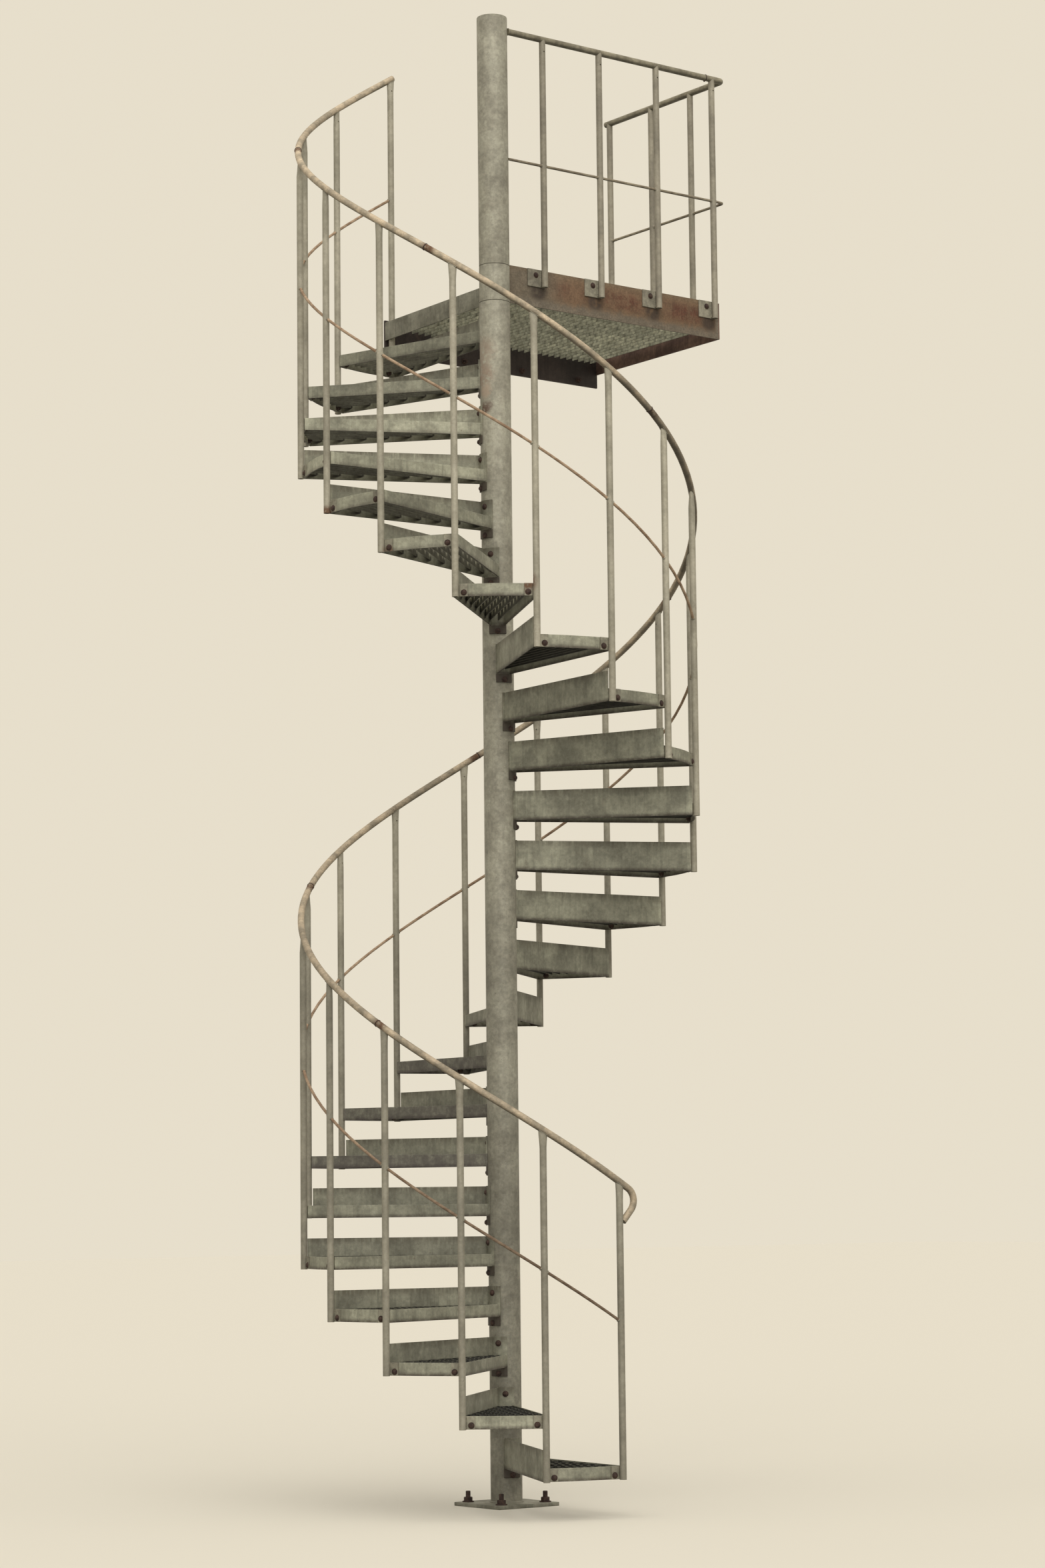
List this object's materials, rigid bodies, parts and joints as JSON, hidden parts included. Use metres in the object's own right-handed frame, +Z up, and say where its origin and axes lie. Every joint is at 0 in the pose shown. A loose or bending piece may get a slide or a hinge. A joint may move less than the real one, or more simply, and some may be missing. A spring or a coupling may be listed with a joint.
{
  "type": "fire escape stair tower, a galvanised spiral stair with a landing",
  "caption": "Outdoor galvanised spiral stair round one column, with bar grating treads, a helical handrail and a railed landing that bolts to a wall.",
  "frame": {"origin": "centre of the underside of the base plate, on the column's axis", "axes": "+Z up along the column, +Y towards the wall, +X along the wall to the landing's far end"},
  "size_m": [2.0748, 1.6708, 6.13],
  "materials": {
    "zinc_plate": "hot-dip galvanised plate, weathered matt grey",
    "zinc_column": "hot-dip galvanised tube with cloudy spangle",
    "zinc_grating": "hot-dip galvanised bar grating, dull",
    "zinc_tube": "galvanised tube, pale grey",
    "zinc_rail": "galvanised tube, worn to a warm beige",
    "rusty_rod": "steel rod with light orange rust",
    "zinc_dark": "galvanised plate, dark and damp"
  },
  "bodies": {
    "root": {"base_plate": "zinc_plate", "column": "zinc_column", "landing_hub": "zinc_column", "column_top": "zinc_column", "tread_01": "zinc_plate", "tread_02": "zinc_plate", "tread_03": "zinc_plate", "tread_04": "zinc_plate", "tread_05": "zinc_plate", "tread_06": "zinc_plate", "tread_07": "zinc_plate", "tread_08": "zinc_plate", "tread_09": "zinc_plate", "tread_10": "zinc_plate", "tread_11": "zinc_plate", "tread_12": "zinc_plate", "tread_13": "zinc_plate", "tread_14": "zinc_plate", "tread_15": "zinc_plate", "tread_16": "zinc_plate", "tread_17": "zinc_plate", "tread_18": "zinc_plate", "tread_19": "zinc_plate", "tread_20": "zinc_plate", "tread_21": "zinc_plate", "tread_22": "zinc_plate", "tread_23": "zinc_plate", "tread_24": "zinc_plate", "tread_gratings_1": "zinc_grating", "tread_gratings_2": "zinc_grating", "tread_gratings_3": "zinc_grating", "tread_gratings_4": "zinc_grating", "landing_front_plate": "zinc_plate", "landing_side_plate": "zinc_plate", "landing_nosing": "zinc_plate", "landing_wall_plate": "zinc_dark", "landing_grating": "zinc_grating", "handrail_1": "zinc_rail", "handrail_2": "zinc_rail", "handrail_3": "zinc_rail", "handrail_4": "zinc_rail", "mid_rail": "rusty_rod", "stair_balusters_upper": "zinc_tube", "stair_balusters_lower": "zinc_tube", "landing_posts": "zinc_tube", "landing_top_rail": "zinc_rail", "landing_mid_rail": "zinc_tube"}
  },
  "joints": []
}
